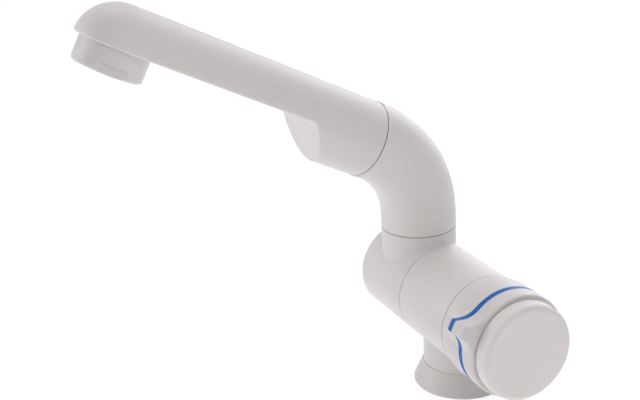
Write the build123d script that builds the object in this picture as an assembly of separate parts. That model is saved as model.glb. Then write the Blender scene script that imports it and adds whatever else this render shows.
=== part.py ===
from build123d import *

import math
import os

# Folding cold water tap. Millimetres, +Z up.
# Origin: centre of the base's underside, where the tap stands on the worktop.
# The lying body runs along X: pivot housing at -X, knob at +X. The spout reaches towards -Y.

# Lying body
BODY_R = 20.0
BODY_AXIS_Z = 32.5
BODY_FRONT_X = 17.0
BODY_REAR_X = -17.5
BODY_EDGE_R = 0.3
JOINT_FILLET_R = 0.9

# Neck and flared base
NECK_R = 16.3
ROSETTE_R = 20.7
ROSETTE_H = 9.1
ROSETTE_RIM = 0.25
ROSETTE_EDGE_R = 0.5
GASKET_W = 2.6
GASKET_T = 1.2
GASKET_EDGE = 1.0

# Shank, worktop fixing and inlet
SHANK_R = 15.8
SHANK_LEN = 34.0
SHANK_BORE_R = 10.5
SPIGOT_R = 13.0
SPIGOT_LEN = 15.5
WORKTOP_T = 16.0
WASHER_R = 21.0
WASHER_T = 1.6
NUT_FLATS = 41.0
NUT_H = 8.0
STEM_R = 6.0
STEM_BORE_R = 4.0
STEM_COLLAR_R = 7.2
STEM_FREE_LEN = 26.0
STEM_SOCKET_LEN = 4.0
STEM_CHAMFER = 1.0

# Valve chamber and ceramic headpart
CHAMBER_R = 9.2
CHAMBER_END_X = -4.8
RECESS_R = 13.0
RECESS_DEPTH = 4.0
SEAT_PORT_R = 4.5
HEAD_SLEEVE_R = 8.0
HEAD_POCKET_R = 6.7
HEAD_THREAD_LEN = 7.0
HEAD_FLATS = 19.0
HEAD_FLANGE_H = 3.2
HEAD_NOSE_R = 6.2
HEAD_NOSE_LEN = 3.0
HEAD_WINDOW_W = 6.0
HEAD_WINDOW_LEN = 3.2
SEAL_R = 6.4
SEAL_T = 1.4
DISC_T = 2.6
DISC_GAP = 0.1
DISC_CLEAR = 0.15
PORT_IN_R = 1.6
PORT_OUT_R = 5.2
PORT_ANGLE = 70.0
SPINDLE_R = 4.0
SPINDLE_FOOT_T = 1.9
SPINDLE_END_X = 30.0
SPINDLE_SPLINES = 12
SPLINE_R = 0.45
SPLINE_LEN = 7.0

# O-rings: the cord's own radius, and how deep its groove is
ORING_CORD_R = 0.9
SMALL_CORD_R = 0.6
GROOVE_SIDE = 0.15

# Clearances
RUN_FIT = 0.05
FACE_GAP = 0.25
LOOSE_FIT = 0.3
KNOB_GAP = 0.4

# Fold pivot
PIVOT_TUBE_R = 9.0
PIVOT_ROOT_R = 7.4
PIVOT_ROOT_LEN = 8.5
PIVOT_BORE_R = 4.8
PIVOT_END_X = -46.0
PIVOT_WALL_T = 7.0
PORT_GROOVE_R = 7.2
PORT_GROOVE_W = 7.0
PORT_R = 2.6
PORT_COUNT = 6
RING_REAR_X = -43.0
RING_FRONT_X = -24.0
KEEPER_R = 12.0
KEEPER_T = 1.4
PIVOT_SCREW_R = 2.5
PIVOT_SCREW_HEAD_R = 4.4
PIVOT_SCREW_HEAD_T = 1.5
PIVOT_SCREW_LEN = 9.0

# Pivot housing with the riser stub
HOUSING_END_X = -51.6
HOUSING_POCKET_R = 13.0
CAP_R = 16.0
CAP_T = 1.6
CAP_SKIRT_T = 1.1
CAP_SKIRT_LEN = 1.4
RISER_X = -35.3
RISER_R = 16.1
STUB_TOP_Z = 56.95
SOCKET_R = 11.0
SOCKET_FLOOR_Z = 45.0
SOCKET_WATER_R = 7.0
GRUB_R = 2.0
GRUB_Z = 51.0
GRUB_TIP_CLEAR = 0.4

# Swivel joint and elbow
GLIDE_T = 0.35
GLIDE_IN_R = 11.8
GLIDE_INSET = 0.25
ELBOW_BEND_R = 41.5
ELBOW_BEND_ANGLE = 61.53
ELBOW_LEAD = 5.0
ELBOW_TAIL = 3.87
ELBOW_BORE_R = 8.0
SPIGOT_RING_LOW_Z = 48.0
SPIGOT_RING_HIGH_Z = 54.5
GRUB_GROOVE_W = 2.4 * GRUB_R
GRUB_GROOVE_R = 9.6
SPOUT_TURN = 2.16

# Spout
SPOUT_R = 15.9
SPOUT_DOME_S = 111.2
SPOUT_DOME_LEN = 16.5
SPOUT_SEAM = 0.35
SPOUT_SEAM_DEPTH = 0.9
PLUG_R = 12.0
PLUG_LEN = 9.0
PLUG_RING_S = -4.5
STEP_S = 32.7
STEP_SLOPE = 0.76
STEP_CORNER_R = 3.0
SPOUT_EDGE_R = 0.8
CHANNEL_R = 4.4
CHANNEL_H = 6.2
OUTLET_S = 112.15

# Aerator
OUTLET_THREAD_R = 11.9
OUTLET_SOCKET_DEPTH = 6.0
OUTLET_FEED_R = 7.0
COLLAR_R = 13.2
COLLAR_GAP = 0.12
COLLAR_H = 9.85
COLLAR_EDGE_R = 1.6
COLLAR_LIP_R = 9.4
COLLAR_LIP_T = 1.5
WRENCH_FLAT = 11.8
WRENCH_FLAT_H = 3.7
WRENCH_FLAT_TURN = 13.5
INSERT_R = 10.3
INSERT_TOP_H = 3.4
INSERT_HOLE_R = 0.95
INSERT_HOLE_PITCH = 2.9
INSERT_RINGS = 3
INSERT_PLATE_T = 2.0
OUTLET_WASHER_T = 1.1
OUTLET_WASHER_IN_R = 8.6

# Knob
KNOB_REAR_X = BODY_FRONT_X + KNOB_GAP
SKIRT_LIP_R = 0.5
SKIRT_FLARE_X = 21.5
BARREL_REAR_X = 24.8
BARREL_R = 21.4
STRIPE_X = 32.2
STRIPE_W = 2.45
GRIP_FRONT_X = 41.4
KNOB_WALL = 3.0
KNOB_WEB_T = 1.5
FIN_R = 28.2
FIN_HALF_W = 2.24
FIN_DRAFT = 20.0
FIN_ROOT_SHARE = 1.5
FIN_EDGE_R = 0.8
FIN_EDGE_LIMIT = 0.12
FIN_REAR_X = 28.6
FIN_CROWN_DROP = 0.75
FIN_NOSE_R = 2.7
FIN_NOSE_LIMIT = 0.4
FIN_ANGLE = 63.4
COLLAR_JOIN_R = 12.0
HUB_R = 7.5
CAP_GAP = 0.7
CAP_GROOVE_DEPTH = 0.6
DISC_R = 19.85
DISC_FRONT_X = 49.0
DISC_EDGE_R = 2.3
DISC_BACK_EDGE_R = 0.3
DISC_PLUG_R = 7.0
DISC_PLUG_LEN = 2.6
KNOB_SCREW_R = 2.0
KNOB_SCREW_HEAD_R = 3.8
KNOB_SCREW_HEAD_T = 2.6
KNOB_SCREW_LEN = 12.0
SCREW_DRIVE_R = 1.5
SCREW_DRIVE_DEPTH = 1.2


# Shapes shared by several pieces

def rod_x(radius, x_from, x_to):
    """Round rod along the lying body's axis."""
    rod = Cylinder(radius, x_to - x_from, align=(Align.CENTER, Align.CENTER, Align.MIN))
    return Pos(x_from, 0, BODY_AXIS_Z) * Rot(0, 90, 0) * rod


def rod_z(radius, z_from, z_to, x=0.0, y=0.0):
    """Round upright rod."""
    rod = Cylinder(radius, z_to - z_from, align=(Align.CENTER, Align.CENTER, Align.MIN))
    return Pos(x, y, z_from) * rod


def hex_rod(flats, length):
    """Hexagonal rod along Z from the origin."""
    outline = RegularPolygon(flats / 2, 6, major_radius=False)
    return extrude(outline, length)


def oring_x(groove_r, cord_r, x):
    """O-ring that sits in a groove of the given floor radius, round the lying axis."""
    return Pos(x, 0, BODY_AXIS_Z) * Rot(0, 90, 0) * Torus(groove_r + cord_r, cord_r)


def ring_room(cord_r):
    """Width of the groove for an O-ring."""
    return 2 * (cord_r + GROOVE_SIDE)


def turned_x(outline):
    """Solid turned round the lying axis from (x, radius) points."""
    face = make_face(Polyline(*[(x, r) for x, r in outline], close=True))
    return Pos(0, 0, BODY_AXIS_Z) * revolve(face, Axis.X)


def border(faces):
    """Edges round a group of faces, without the edges that they share."""
    seen = [edge for face in faces for edge in face.edges()]
    return ShapeList(edge for edge in seen if sum(edge.is_same(other) for other in seen) == 1)


# Base: rosette, gasket and worktop fixing

def base_rosette():
    top_r = NECK_R + ROSETTE_RIM
    cone = Cone(ROSETTE_R, top_r, ROSETTE_H, align=(Align.CENTER, Align.CENTER, Align.MIN))
    cone = fillet(cone.edges().group_by(Axis.Z)[0], ROSETTE_EDGE_R)
    gasket_out = ROSETTE_R - GASKET_EDGE
    recess = rod_z(gasket_out, 0, GASKET_T) - rod_z(gasket_out - GASKET_W, 0, GASKET_T)
    return cone - rod_z(SPIGOT_R, 0, ROSETTE_H) - recess


def seat_gasket():
    gasket_out = ROSETTE_R - GASKET_EDGE
    return rod_z(gasket_out, 0, GASKET_T) - rod_z(gasket_out - GASKET_W, 0, GASKET_T)


def threaded_shank():
    thread = rod_z(SHANK_R, -SHANK_LEN, 0)
    thread = chamfer(thread.edges().group_by(Axis.Z)[0], STEM_CHAMFER)
    spigot = rod_z(SPIGOT_R, 0, SPIGOT_LEN)
    return thread + spigot - rod_z(SHANK_BORE_R, -SHANK_LEN, SPIGOT_LEN)


def clamp_washer():
    top = -WORKTOP_T
    return rod_z(WASHER_R, top - WASHER_T, top) - rod_z(SHANK_R + RUN_FIT, top - WASHER_T, top)


def mounting_nut():
    top = -WORKTOP_T - WASHER_T
    nut = Pos(0, 0, top - NUT_H) * hex_rod(NUT_FLATS, NUT_H)
    corner_r = NUT_FLATS / math.sqrt(3)
    crown = Cone(NUT_FLATS / 2, corner_r, NUT_H, align=(Align.CENTER, Align.CENTER, Align.MIN))
    crown = Pos(0, 0, top - NUT_H) * crown + rod_z(corner_r, top - NUT_H / 2, top)
    return (nut & crown) - rod_z(SHANK_R, top - NUT_H, top)


def inlet_stem():
    """Tube for the water hose: a push-fit end below, a collar where it goes up the shank."""
    collar_z = -SHANK_LEN - 2 * STEM_CHAMFER
    end_z = collar_z - STEM_FREE_LEN
    free_end = rod_z(STEM_R, end_z, collar_z)
    free_end = chamfer(free_end.edges().group_by(Axis.Z)[0], STEM_CHAMFER)
    top_z = SPIGOT_LEN + STEM_SOCKET_LEN
    collar = rod_z(STEM_COLLAR_R, collar_z, top_z)
    return free_end + collar - rod_z(STEM_BORE_R, end_z, top_z)


# Valve body

def valve_body():
    """Lying cylinder with its neck, bored for the shank, the headpart and the pivot tube."""
    spare = 3 * JOINT_FILLET_R + NECK_R
    lying = rod_x(BODY_R, -spare, spare)
    neck = rod_z(NECK_R, ROSETTE_H, BODY_AXIS_Z)
    shell = lying + neck
    crotch = [e for e in shell.edges() if e.geom_type != GeomType.CIRCLE and e.length > NECK_R]
    shell = fillet(crotch, JOINT_FILLET_R)
    shell = shell & rod_x(2 * BODY_AXIS_Z, BODY_REAR_X, BODY_FRONT_X)
    rims = shell.edges().filter_by(GeomType.CIRCLE)
    rims = [e for e in rims if abs(e.radius - BODY_R) < BODY_EDGE_R and e.center().Z > ROSETTE_H]
    shell = fillet(rims, BODY_EDGE_R)
    shell -= rod_z(SPIGOT_R, ROSETTE_H, SPIGOT_LEN)
    shell -= rod_z(STEM_COLLAR_R, ROSETTE_H, SPIGOT_LEN + STEM_SOCKET_LEN)
    shell -= rod_z(STEM_BORE_R, ROSETTE_H, BODY_AXIS_Z)
    shell -= rod_x(RECESS_R, BODY_FRONT_X - RECESS_DEPTH, BODY_FRONT_X)
    shell -= rod_x(CHAMBER_R, CHAMBER_END_X, BODY_FRONT_X)
    shell -= rod_x(SEAT_PORT_R, BODY_REAR_X, CHAMBER_END_X)
    return shell - rod_x(PIVOT_ROOT_R, BODY_REAR_X, BODY_REAR_X + PIVOT_ROOT_LEN)


# Ceramic headpart

HEAD_SHOULDER_X = BODY_FRONT_X - RECESS_DEPTH
HEAD_THREAD_X = HEAD_SHOULDER_X - HEAD_THREAD_LEN
FIXED_DISC_X = CHAMBER_END_X + SEAL_T
MOVING_DISC_X = FIXED_DISC_X + DISC_T + DISC_GAP
FOOT_X = MOVING_DISC_X + DISC_T
HEAD_RING_X = HEAD_SHOULDER_X - 2 * SMALL_CORD_R - GROOVE_SIDE
HEAD_NOSE_X = HEAD_SHOULDER_X + HEAD_FLANGE_H + HEAD_NOSE_LEN
SPINDLE_RING_X = HEAD_SHOULDER_X + SMALL_CORD_R


def headpart_housing():
    """Brass housing screwed into the body: windows, disc pocket, flange and spindle guide."""
    housing = rod_x(HEAD_SLEEVE_R, CHAMBER_END_X, HEAD_THREAD_X)
    housing += rod_x(CHAMBER_R, HEAD_THREAD_X, HEAD_SHOULDER_X)
    flange = Pos(HEAD_SHOULDER_X, 0, BODY_AXIS_Z) * Rot(0, 90, 0) * hex_rod(HEAD_FLATS, HEAD_FLANGE_H)
    housing += flange + rod_x(HEAD_NOSE_R, HEAD_SHOULDER_X, HEAD_NOSE_X)
    housing -= rod_x(HEAD_POCKET_R, CHAMBER_END_X, FOOT_X + SPINDLE_FOOT_T + LOOSE_FIT)
    housing -= rod_x(SPINDLE_R + RUN_FIT, CHAMBER_END_X, HEAD_NOSE_X)
    window = Box(HEAD_WINDOW_LEN, HEAD_WINDOW_W, 2 * CHAMBER_R)
    housing -= Pos(MOVING_DISC_X + DISC_T / 2, 0, BODY_AXIS_Z) * window
    groove = rod_x(CHAMBER_R, HEAD_RING_X - ring_room(SMALL_CORD_R) / 2,
                   HEAD_RING_X + ring_room(SMALL_CORD_R) / 2)
    return housing - (groove - rod_x(CHAMBER_R - 2 * SMALL_CORD_R, HEAD_THREAD_X, HEAD_SHOULDER_X))


def headpart_oring():
    return oring_x(CHAMBER_R - 2 * SMALL_CORD_R, SMALL_CORD_R, HEAD_RING_X)


def seat_seal():
    return rod_x(SEAL_R, CHAMBER_END_X, FIXED_DISC_X) - rod_x(SEAT_PORT_R, CHAMBER_END_X, FIXED_DISC_X)


def port_sector(x_from, x_to, turn):
    """Cutter for one sector-shaped water port."""
    half = PORT_ANGLE / 2
    outline = make_face([
        Line(Vector(PORT_IN_R, 0).rotate(Axis.Z, -half), Vector(PORT_OUT_R, 0).rotate(Axis.Z, -half)),
        RadiusArc(Vector(PORT_OUT_R, 0).rotate(Axis.Z, -half),
                  Vector(PORT_OUT_R, 0).rotate(Axis.Z, half), -PORT_OUT_R),
        Line(Vector(PORT_OUT_R, 0).rotate(Axis.Z, half), Vector(PORT_IN_R, 0).rotate(Axis.Z, half)),
        RadiusArc(Vector(PORT_IN_R, 0).rotate(Axis.Z, half),
                  Vector(PORT_IN_R, 0).rotate(Axis.Z, -half), PORT_IN_R),
    ])
    cutter = extrude(outline, x_to - x_from)
    return Pos(x_from, 0, BODY_AXIS_Z) * Rot(0, 90, 0) * Rot(0, 0, turn) * cutter


def ceramic_disc(x_from, radius, turn):
    """Polished disc with two opposite ports."""
    disc = rod_x(radius, x_from, x_from + DISC_T)
    for side in (0, 180):
        disc -= port_sector(x_from, x_from + DISC_T, turn + side)
    return disc


def fixed_disc():
    return ceramic_disc(FIXED_DISC_X, HEAD_POCKET_R - RUN_FIT, 0)


def moving_disc():
    """Turned a quarter from the fixed disc: the tap is shut at rest."""
    return ceramic_disc(MOVING_DISC_X, HEAD_POCKET_R - DISC_CLEAR, 90)


def valve_spindle():
    """Spindle with a driving foot, a seal groove and a splined end for the knob."""
    spindle = rod_x(HEAD_POCKET_R - DISC_CLEAR, FOOT_X, FOOT_X + SPINDLE_FOOT_T)
    spindle += rod_x(SPINDLE_R, FOOT_X, SPINDLE_END_X)
    half = ring_room(SMALL_CORD_R) / 2
    groove = rod_x(SPINDLE_R, SPINDLE_RING_X - half, SPINDLE_RING_X + half)
    spindle -= groove - rod_x(SPINDLE_R - 2 * SMALL_CORD_R, FOOT_X, SPINDLE_END_X)
    spline = rod_x(SPLINE_R, SPINDLE_END_X - SPLINE_LEN, SPINDLE_END_X)
    for k in range(SPINDLE_SPLINES):
        turn = Rot(360 / SPINDLE_SPLINES * k, 0, 0)
        spindle -= Pos(0, 0, BODY_AXIS_Z) * turn * Pos(0, 0, SPINDLE_R - BODY_AXIS_Z) * spline
    return spindle - rod_x(KNOB_SCREW_R, SPINDLE_END_X - KNOB_SCREW_LEN, SPINDLE_END_X)


def spindle_oring():
    return oring_x(SPINDLE_R - 2 * SMALL_CORD_R, SMALL_CORD_R, SPINDLE_RING_X)


# Fold pivot

PIVOT_GROOVE_R = PIVOT_TUBE_R - 2 * ORING_CORD_R


def pivot_tube():
    """Hollow pin that the pivot housing folds about and the water flows through."""
    tube = rod_x(PIVOT_TUBE_R, PIVOT_END_X, BODY_REAR_X)
    tube += rod_x(PIVOT_ROOT_R, BODY_REAR_X, BODY_REAR_X + PIVOT_ROOT_LEN)
    tube -= rod_x(PIVOT_BORE_R, PIVOT_END_X + PIVOT_WALL_T, BODY_REAR_X + PIVOT_ROOT_LEN)
    sleeve = rod_x(PIVOT_TUBE_R, RISER_X - PORT_GROOVE_W / 2, RISER_X + PORT_GROOVE_W / 2)
    tube -= sleeve - rod_x(PORT_GROOVE_R, PIVOT_END_X, BODY_REAR_X)
    port = rod_z(PORT_R, BODY_AXIS_Z, BODY_AXIS_Z + PIVOT_TUBE_R, x=RISER_X)
    for k in range(PORT_COUNT):
        turn = Pos(0, 0, BODY_AXIS_Z) * Rot(360 / PORT_COUNT * k, 0, 0) * Pos(0, 0, -BODY_AXIS_Z)
        tube -= turn * port
    half = ring_room(ORING_CORD_R) / 2
    for x in (RING_REAR_X, RING_FRONT_X):
        groove = rod_x(PIVOT_TUBE_R, x - half, x + half)
        tube -= groove - rod_x(PIVOT_GROOVE_R, x - half, x + half)
    return tube - rod_x(PIVOT_SCREW_R, PIVOT_END_X, PIVOT_END_X + PIVOT_SCREW_LEN)


def pivot_orings():
    rings = [oring_x(PIVOT_GROOVE_R, ORING_CORD_R, x) for x in (RING_REAR_X, RING_FRONT_X)]
    return Compound(children=rings)


def keeper_washer():
    """Washer that keeps the pivot housing on the tube."""
    disc = rod_x(KEEPER_R, PIVOT_END_X - KEEPER_T, PIVOT_END_X)
    return disc - rod_x(PIVOT_SCREW_R, PIVOT_END_X - KEEPER_T, PIVOT_END_X)


def pivot_screw():
    head_x = PIVOT_END_X - KEEPER_T
    head = rod_x(PIVOT_SCREW_HEAD_R, head_x - PIVOT_SCREW_HEAD_T, head_x)
    drive = Pos(head_x - PIVOT_SCREW_HEAD_T, 0, BODY_AXIS_Z) * Rot(0, 90, 0)
    head -= drive * hex_rod(2 * SCREW_DRIVE_R, SCREW_DRIVE_DEPTH)
    return head + rod_x(PIVOT_SCREW_R, head_x, PIVOT_END_X + PIVOT_SCREW_LEN)


# Pivot housing

def pivot_housing():
    """Rear part of the lying body with the upright stub that carries the spout."""
    spare = 3 * JOINT_FILLET_R
    front_x = BODY_REAR_X - FACE_GAP
    lying = rod_x(BODY_R, RISER_X - RISER_R - spare, max(front_x, RISER_X + RISER_R + spare))
    shell = lying + rod_z(RISER_R, BODY_AXIS_Z, STUB_TOP_Z, x=RISER_X)
    crotch = [e for e in shell.edges() if e.geom_type != GeomType.CIRCLE and e.length > RISER_R]
    shell = fillet(crotch, JOINT_FILLET_R)
    shell = shell & rod_x(2 * BODY_AXIS_Z, HOUSING_END_X, front_x)
    rims = shell.edges().filter_by(GeomType.CIRCLE)
    rims = [e for e in rims if abs(e.radius - BODY_R) < BODY_EDGE_R]
    shell = fillet(rims, BODY_EDGE_R)
    pocket_x = PIVOT_END_X + FACE_GAP
    shell -= rod_x(PIVOT_TUBE_R + RUN_FIT, HOUSING_END_X, front_x)
    shell -= rod_x(HOUSING_POCKET_R, HOUSING_END_X, pocket_x)
    shell -= rod_x(CAP_R, HOUSING_END_X, HOUSING_END_X + CAP_T)
    shell -= rod_z(SOCKET_R, SOCKET_FLOOR_Z, STUB_TOP_Z, x=RISER_X)
    shell -= rod_z(SOCKET_WATER_R, BODY_AXIS_Z, SOCKET_FLOOR_Z, x=RISER_X)
    return shell - grub_rod(RISER_R)


def grub_rod(y_to):
    """Rod along Y through the back of the stub, where the grub screw sits."""
    rod = Cylinder(GRUB_R, y_to - grub_tip_y(), align=(Align.CENTER, Align.CENTER, Align.MIN))
    return Pos(RISER_X, grub_tip_y(), GRUB_Z) * Rot(-90, 0, 0) * rod


def grub_tip_y():
    return GRUB_GROOVE_R + GRUB_TIP_CLEAR


def grub_screw():
    """Keeps the spout in its socket: its tip runs in a groove round the spigot."""
    screw = grub_rod(RISER_R - LOOSE_FIT)
    drive = Pos(RISER_X, RISER_R - LOOSE_FIT - SCREW_DRIVE_DEPTH, GRUB_Z) * Rot(-90, 0, 0)
    return screw - drive * hex_rod(GRUB_R, SCREW_DRIVE_DEPTH)


def end_cap():
    """Round cap that closes the rear end over the pivot screw."""
    cap = rod_x(CAP_R, HOUSING_END_X, HOUSING_END_X + CAP_T)
    cap = fillet(cap.edges().group_by(Axis.X)[0], BODY_EDGE_R)
    skirt_x = HOUSING_END_X + CAP_T
    skirt = rod_x(HOUSING_POCKET_R, skirt_x, skirt_x + CAP_SKIRT_LEN)
    return cap + skirt - rod_x(HOUSING_POCKET_R - CAP_SKIRT_T, skirt_x, skirt_x + CAP_SKIRT_LEN)


# Swivel joint and elbow. The riser frame has its Z on the riser and -Y towards the spout.

RISER = Location((RISER_X, 0, 0), (0, 0, SPOUT_TURN))
ELBOW_FOOT_Z = STUB_TOP_Z + GLIDE_T + RUN_FIT
BEND_Z = ELBOW_FOOT_Z + ELBOW_LEAD
SPIGOT_RUN_R = SOCKET_R - RUN_FIT
SPIGOT_GROOVE_R = SPIGOT_RUN_R - 2 * ORING_CORD_R


def slope_frame():
    """Frame at the elbow's end, seen from the riser: X along the spout, Z square to its underside."""
    angle = math.radians(ELBOW_BEND_ANGLE)
    bend_end = Vector(0, -ELBOW_BEND_R * (1 - math.cos(angle)), BEND_Z + ELBOW_BEND_R * math.sin(angle))
    along = Vector(0, -math.sin(angle), math.cos(angle))
    square = Vector(0, math.cos(angle), math.sin(angle))
    return Plane(bend_end + along * ELBOW_TAIL, x_dir=along, z_dir=square).location


def spout_frame():
    """The same frame in the tap's own axes."""
    return RISER * slope_frame()


def bent_rod(radius):
    """Round bend from the upright to the spout's slope, with its straight end."""
    start = Pos(0, 0, BEND_Z) * Circle(radius)
    pivot = Axis((0, -ELBOW_BEND_R, BEND_Z), (1, 0, 0))
    bend = revolve(start, pivot, ELBOW_BEND_ANGLE)
    return bend + slope_frame() * along_spout(radius, -ELBOW_TAIL, 0)


def glide_ring():
    top = STUB_TOP_Z + GLIDE_T
    ring = rod_z(RISER_R - GLIDE_INSET, STUB_TOP_Z, top, x=RISER_X)
    return ring - rod_z(GLIDE_IN_R, STUB_TOP_Z, top, x=RISER_X)


def elbow():
    """Elbow with the swivelling spigot below and the spout's socket at its end."""
    spigot_foot = SOCKET_FLOOR_Z + LOOSE_FIT
    pipe = bent_rod(RISER_R) + rod_z(RISER_R, ELBOW_FOOT_Z, BEND_Z)
    pipe += rod_z(SPIGOT_RUN_R, spigot_foot, ELBOW_FOOT_Z)
    half = ring_room(ORING_CORD_R) / 2
    for z in (SPIGOT_RING_LOW_Z, SPIGOT_RING_HIGH_Z):
        pipe -= rod_z(SPIGOT_RUN_R, z - half, z + half) - rod_z(SPIGOT_GROOVE_R, z - half, z + half)
    low = GRUB_Z - GRUB_GROOVE_W / 2
    high = GRUB_Z + GRUB_GROOVE_W / 2
    pipe -= rod_z(SPIGOT_RUN_R, low, high) - rod_z(GRUB_GROOVE_R, low, high)
    pipe -= bent_rod(ELBOW_BORE_R) + rod_z(ELBOW_BORE_R, spigot_foot, BEND_Z)
    return RISER * pipe - spout_frame() * along_spout(PLUG_R, -PLUG_LEN - LOOSE_FIT, SPOUT_SEAM)


def swivel_orings():
    rings = [Pos(0, 0, z) * Torus(SPIGOT_GROOVE_R + ORING_CORD_R, ORING_CORD_R)
             for z in (SPIGOT_RING_LOW_Z, SPIGOT_RING_HIGH_Z)]
    return RISER * Compound(children=rings)


# Spout, made in its own frame and then placed

def along_spout(radius, s_from, s_to, height=0.0):
    """Round rod along the spout."""
    rod = Cylinder(radius, s_to - s_from, align=(Align.CENTER, Align.CENTER, Align.MIN))
    return Pos(s_from, 0, height) * Rot(0, 90, 0) * rod


def at_outlet(radius, h_from, h_to):
    """Round rod on the outlet's axis, square to the spout's underside."""
    return rod_z(radius, h_from, h_to, x=OUTLET_S)


def underside_cutter():
    """Takes away the lower half of the tube in front of the slanting step."""
    drop = 1.5 * SPOUT_R
    reach = SPOUT_DOME_S + 2 * SPOUT_DOME_LEN
    outline = make_face(Polyline(
        (STEP_S, 0), (STEP_S - STEP_SLOPE * drop, -drop), (reach, -drop), (reach, 0), close=True))
    corner = outline.vertices().sort_by_distance((STEP_S, 0, 0))[0]
    outline = fillet(corner, STEP_CORNER_R)
    return extrude(Plane.XZ * outline, 2 * SPOUT_R, both=True)


def soften_cut(shell):
    """Rounds the edges where the cut meets the tube's outside."""
    step_down = Vector(1, 0, -STEP_SLOPE).normalized()
    cut_faces = []
    for face in shell.faces():
        flat_under = face.geom_type == GeomType.PLANE and face.normal_at().Z < -0.99
        step = face.geom_type == GeomType.PLANE and abs(face.normal_at().dot(step_down)) > 0.99
        corner = face.geom_type == GeomType.CYLINDER and abs(face.radius - STEP_CORNER_R) < 0.01
        if flat_under or step or corner:
            cut_faces.append(face)
    return fillet(border(cut_faces), SPOUT_EDGE_R)


def spout_tube():
    """Round tube whose free end closes in a longish dome."""
    dome_end = SPOUT_DOME_S + SPOUT_DOME_LEN
    dome = EllipticalCenterArc((SPOUT_DOME_S, 0), SPOUT_DOME_LEN, SPOUT_R, start_angle=0, arc_size=90)
    outline = make_face([
        Line((SPOUT_SEAM, 0), (SPOUT_SEAM, SPOUT_R)),
        Line((SPOUT_SEAM, SPOUT_R), (SPOUT_DOME_S, SPOUT_R)),
        dome,
        Line((dome_end, 0), (SPOUT_SEAM, 0)),
    ])
    return revolve(outline, Axis.X)


def spout():
    """Half-round spout behind a full-round root, with a domed tip."""
    shell = spout_tube() - underside_cutter()
    shell = soften_cut(shell)
    shell += along_spout(SPOUT_R - SPOUT_SEAM_DEPTH, 0, SPOUT_SEAM)
    plug = along_spout(PLUG_R - RUN_FIT, -PLUG_LEN, 0)
    half = ring_room(ORING_CORD_R) / 2
    groove = along_spout(PLUG_R, PLUG_RING_S - half, PLUG_RING_S + half)
    groove -= along_spout(PLUG_R - 2 * ORING_CORD_R, PLUG_RING_S - half, PLUG_RING_S + half)
    shell += plug - groove
    shell -= along_spout(CHANNEL_R, -PLUG_LEN, OUTLET_S, CHANNEL_H)
    shell -= at_outlet(OUTLET_THREAD_R + RUN_FIT, 0, OUTLET_SOCKET_DEPTH)
    shell -= at_outlet(OUTLET_FEED_R, 0, CHANNEL_H + CHANNEL_R / 2)
    return spout_frame() * shell


def spout_oring():
    ring = Torus(PLUG_R - ORING_CORD_R, ORING_CORD_R)
    return spout_frame() * Pos(PLUG_RING_S, 0, 0) * Rot(0, 90, 0) * ring


# Aerator

def aerator_collar():
    """Screwed collar with two wrench flats and a lip that holds the insert."""
    top = OUTLET_SOCKET_DEPTH - OUTLET_WASHER_T
    collar = at_outlet(COLLAR_R, -COLLAR_H, -COLLAR_GAP)
    collar = fillet(collar.edges().group_by(Axis.Z)[0], COLLAR_EDGE_R)
    flat = Box(2 * COLLAR_R, 2 * COLLAR_R, WRENCH_FLAT_H,
               align=(Align.CENTER, Align.MIN, Align.MIN))
    for turn in (0, 180):
        swing = Pos(OUTLET_S, 0, -COLLAR_H) * Rot(0, 0, turn - WRENCH_FLAT_TURN)
        collar -= swing * Pos(0, WRENCH_FLAT, 0) * flat
    collar += at_outlet(OUTLET_THREAD_R, -COLLAR_GAP, top)
    collar -= at_outlet(INSERT_R + RUN_FIT, -COLLAR_H + COLLAR_LIP_T, top)
    return spout_frame() * (collar - at_outlet(COLLAR_LIP_R, -COLLAR_H, top))


def aerator_insert():
    """Insert with rings of small holes, seen from below."""
    floor = -COLLAR_H + COLLAR_LIP_T
    insert = at_outlet(INSERT_R, floor, INSERT_TOP_H)
    insert -= at_outlet(COLLAR_LIP_R - RUN_FIT, floor + INSERT_PLATE_T, INSERT_TOP_H)
    for ring in range(INSERT_RINGS + 1):
        count = max(1, 6 * ring)
        for k in range(count):
            spot = Vector(ring * INSERT_HOLE_PITCH, 0).rotate(Axis.Z, 360 / count * k)
            hole = rod_z(INSERT_HOLE_R, floor, floor + INSERT_PLATE_T, OUTLET_S + spot.X, spot.Y)
            insert -= hole
    return spout_frame() * insert


def outlet_washer():
    top = OUTLET_SOCKET_DEPTH
    ring = at_outlet(OUTLET_THREAD_R, top - OUTLET_WASHER_T, top)
    return spout_frame() * (ring - at_outlet(OUTLET_WASHER_IN_R, top - OUTLET_WASHER_T, top))


# Knob. Its outline across the axis is a round barrel with one fin on flared roots.

FIN_HEIGHT = FIN_R - BARREL_R
CROWN_EDGE_R = min(FIN_EDGE_R, FIN_EDGE_LIMIT * FIN_HEIGHT)


def sharp_outline():
    """Cross-section: barrel and fin, the fin standing up along +X of the sketch."""
    lean = math.tan(math.radians(FIN_DRAFT))
    root = BARREL_R / 2
    root_half = FIN_HALF_W + lean * (FIN_R - root)
    fin = make_face(Polyline((root, -root_half), (FIN_R, -FIN_HALF_W), (FIN_R, FIN_HALF_W),
                             (root, root_half), close=True))
    outline = (Circle(BARREL_R) + fin).face()
    feet = [v for v in outline.vertices() if v.X < BARREL_R and abs(v.Y) > FIN_HALF_W]
    return fillet(feet, FIN_ROOT_SHARE * FIN_HEIGHT)


def rounded_outline():
    """The same with the edges of the fin's crown rounded."""
    outline = sharp_outline()
    return fillet(outline.vertices().sort_by(Axis.X)[-2:], CROWN_EDGE_R)


def knob_slice(outline, x_from, x_to):
    """Slice of the barrel and fin between two places on the axis."""
    piece = extrude(outline, x_to - x_from)
    upright = Rot(0, 0, 180 + FIN_ANGLE)
    return Pos(x_from, 0, BODY_AXIS_Z) * Rot(0, 90, 0) * upright * piece


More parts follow.
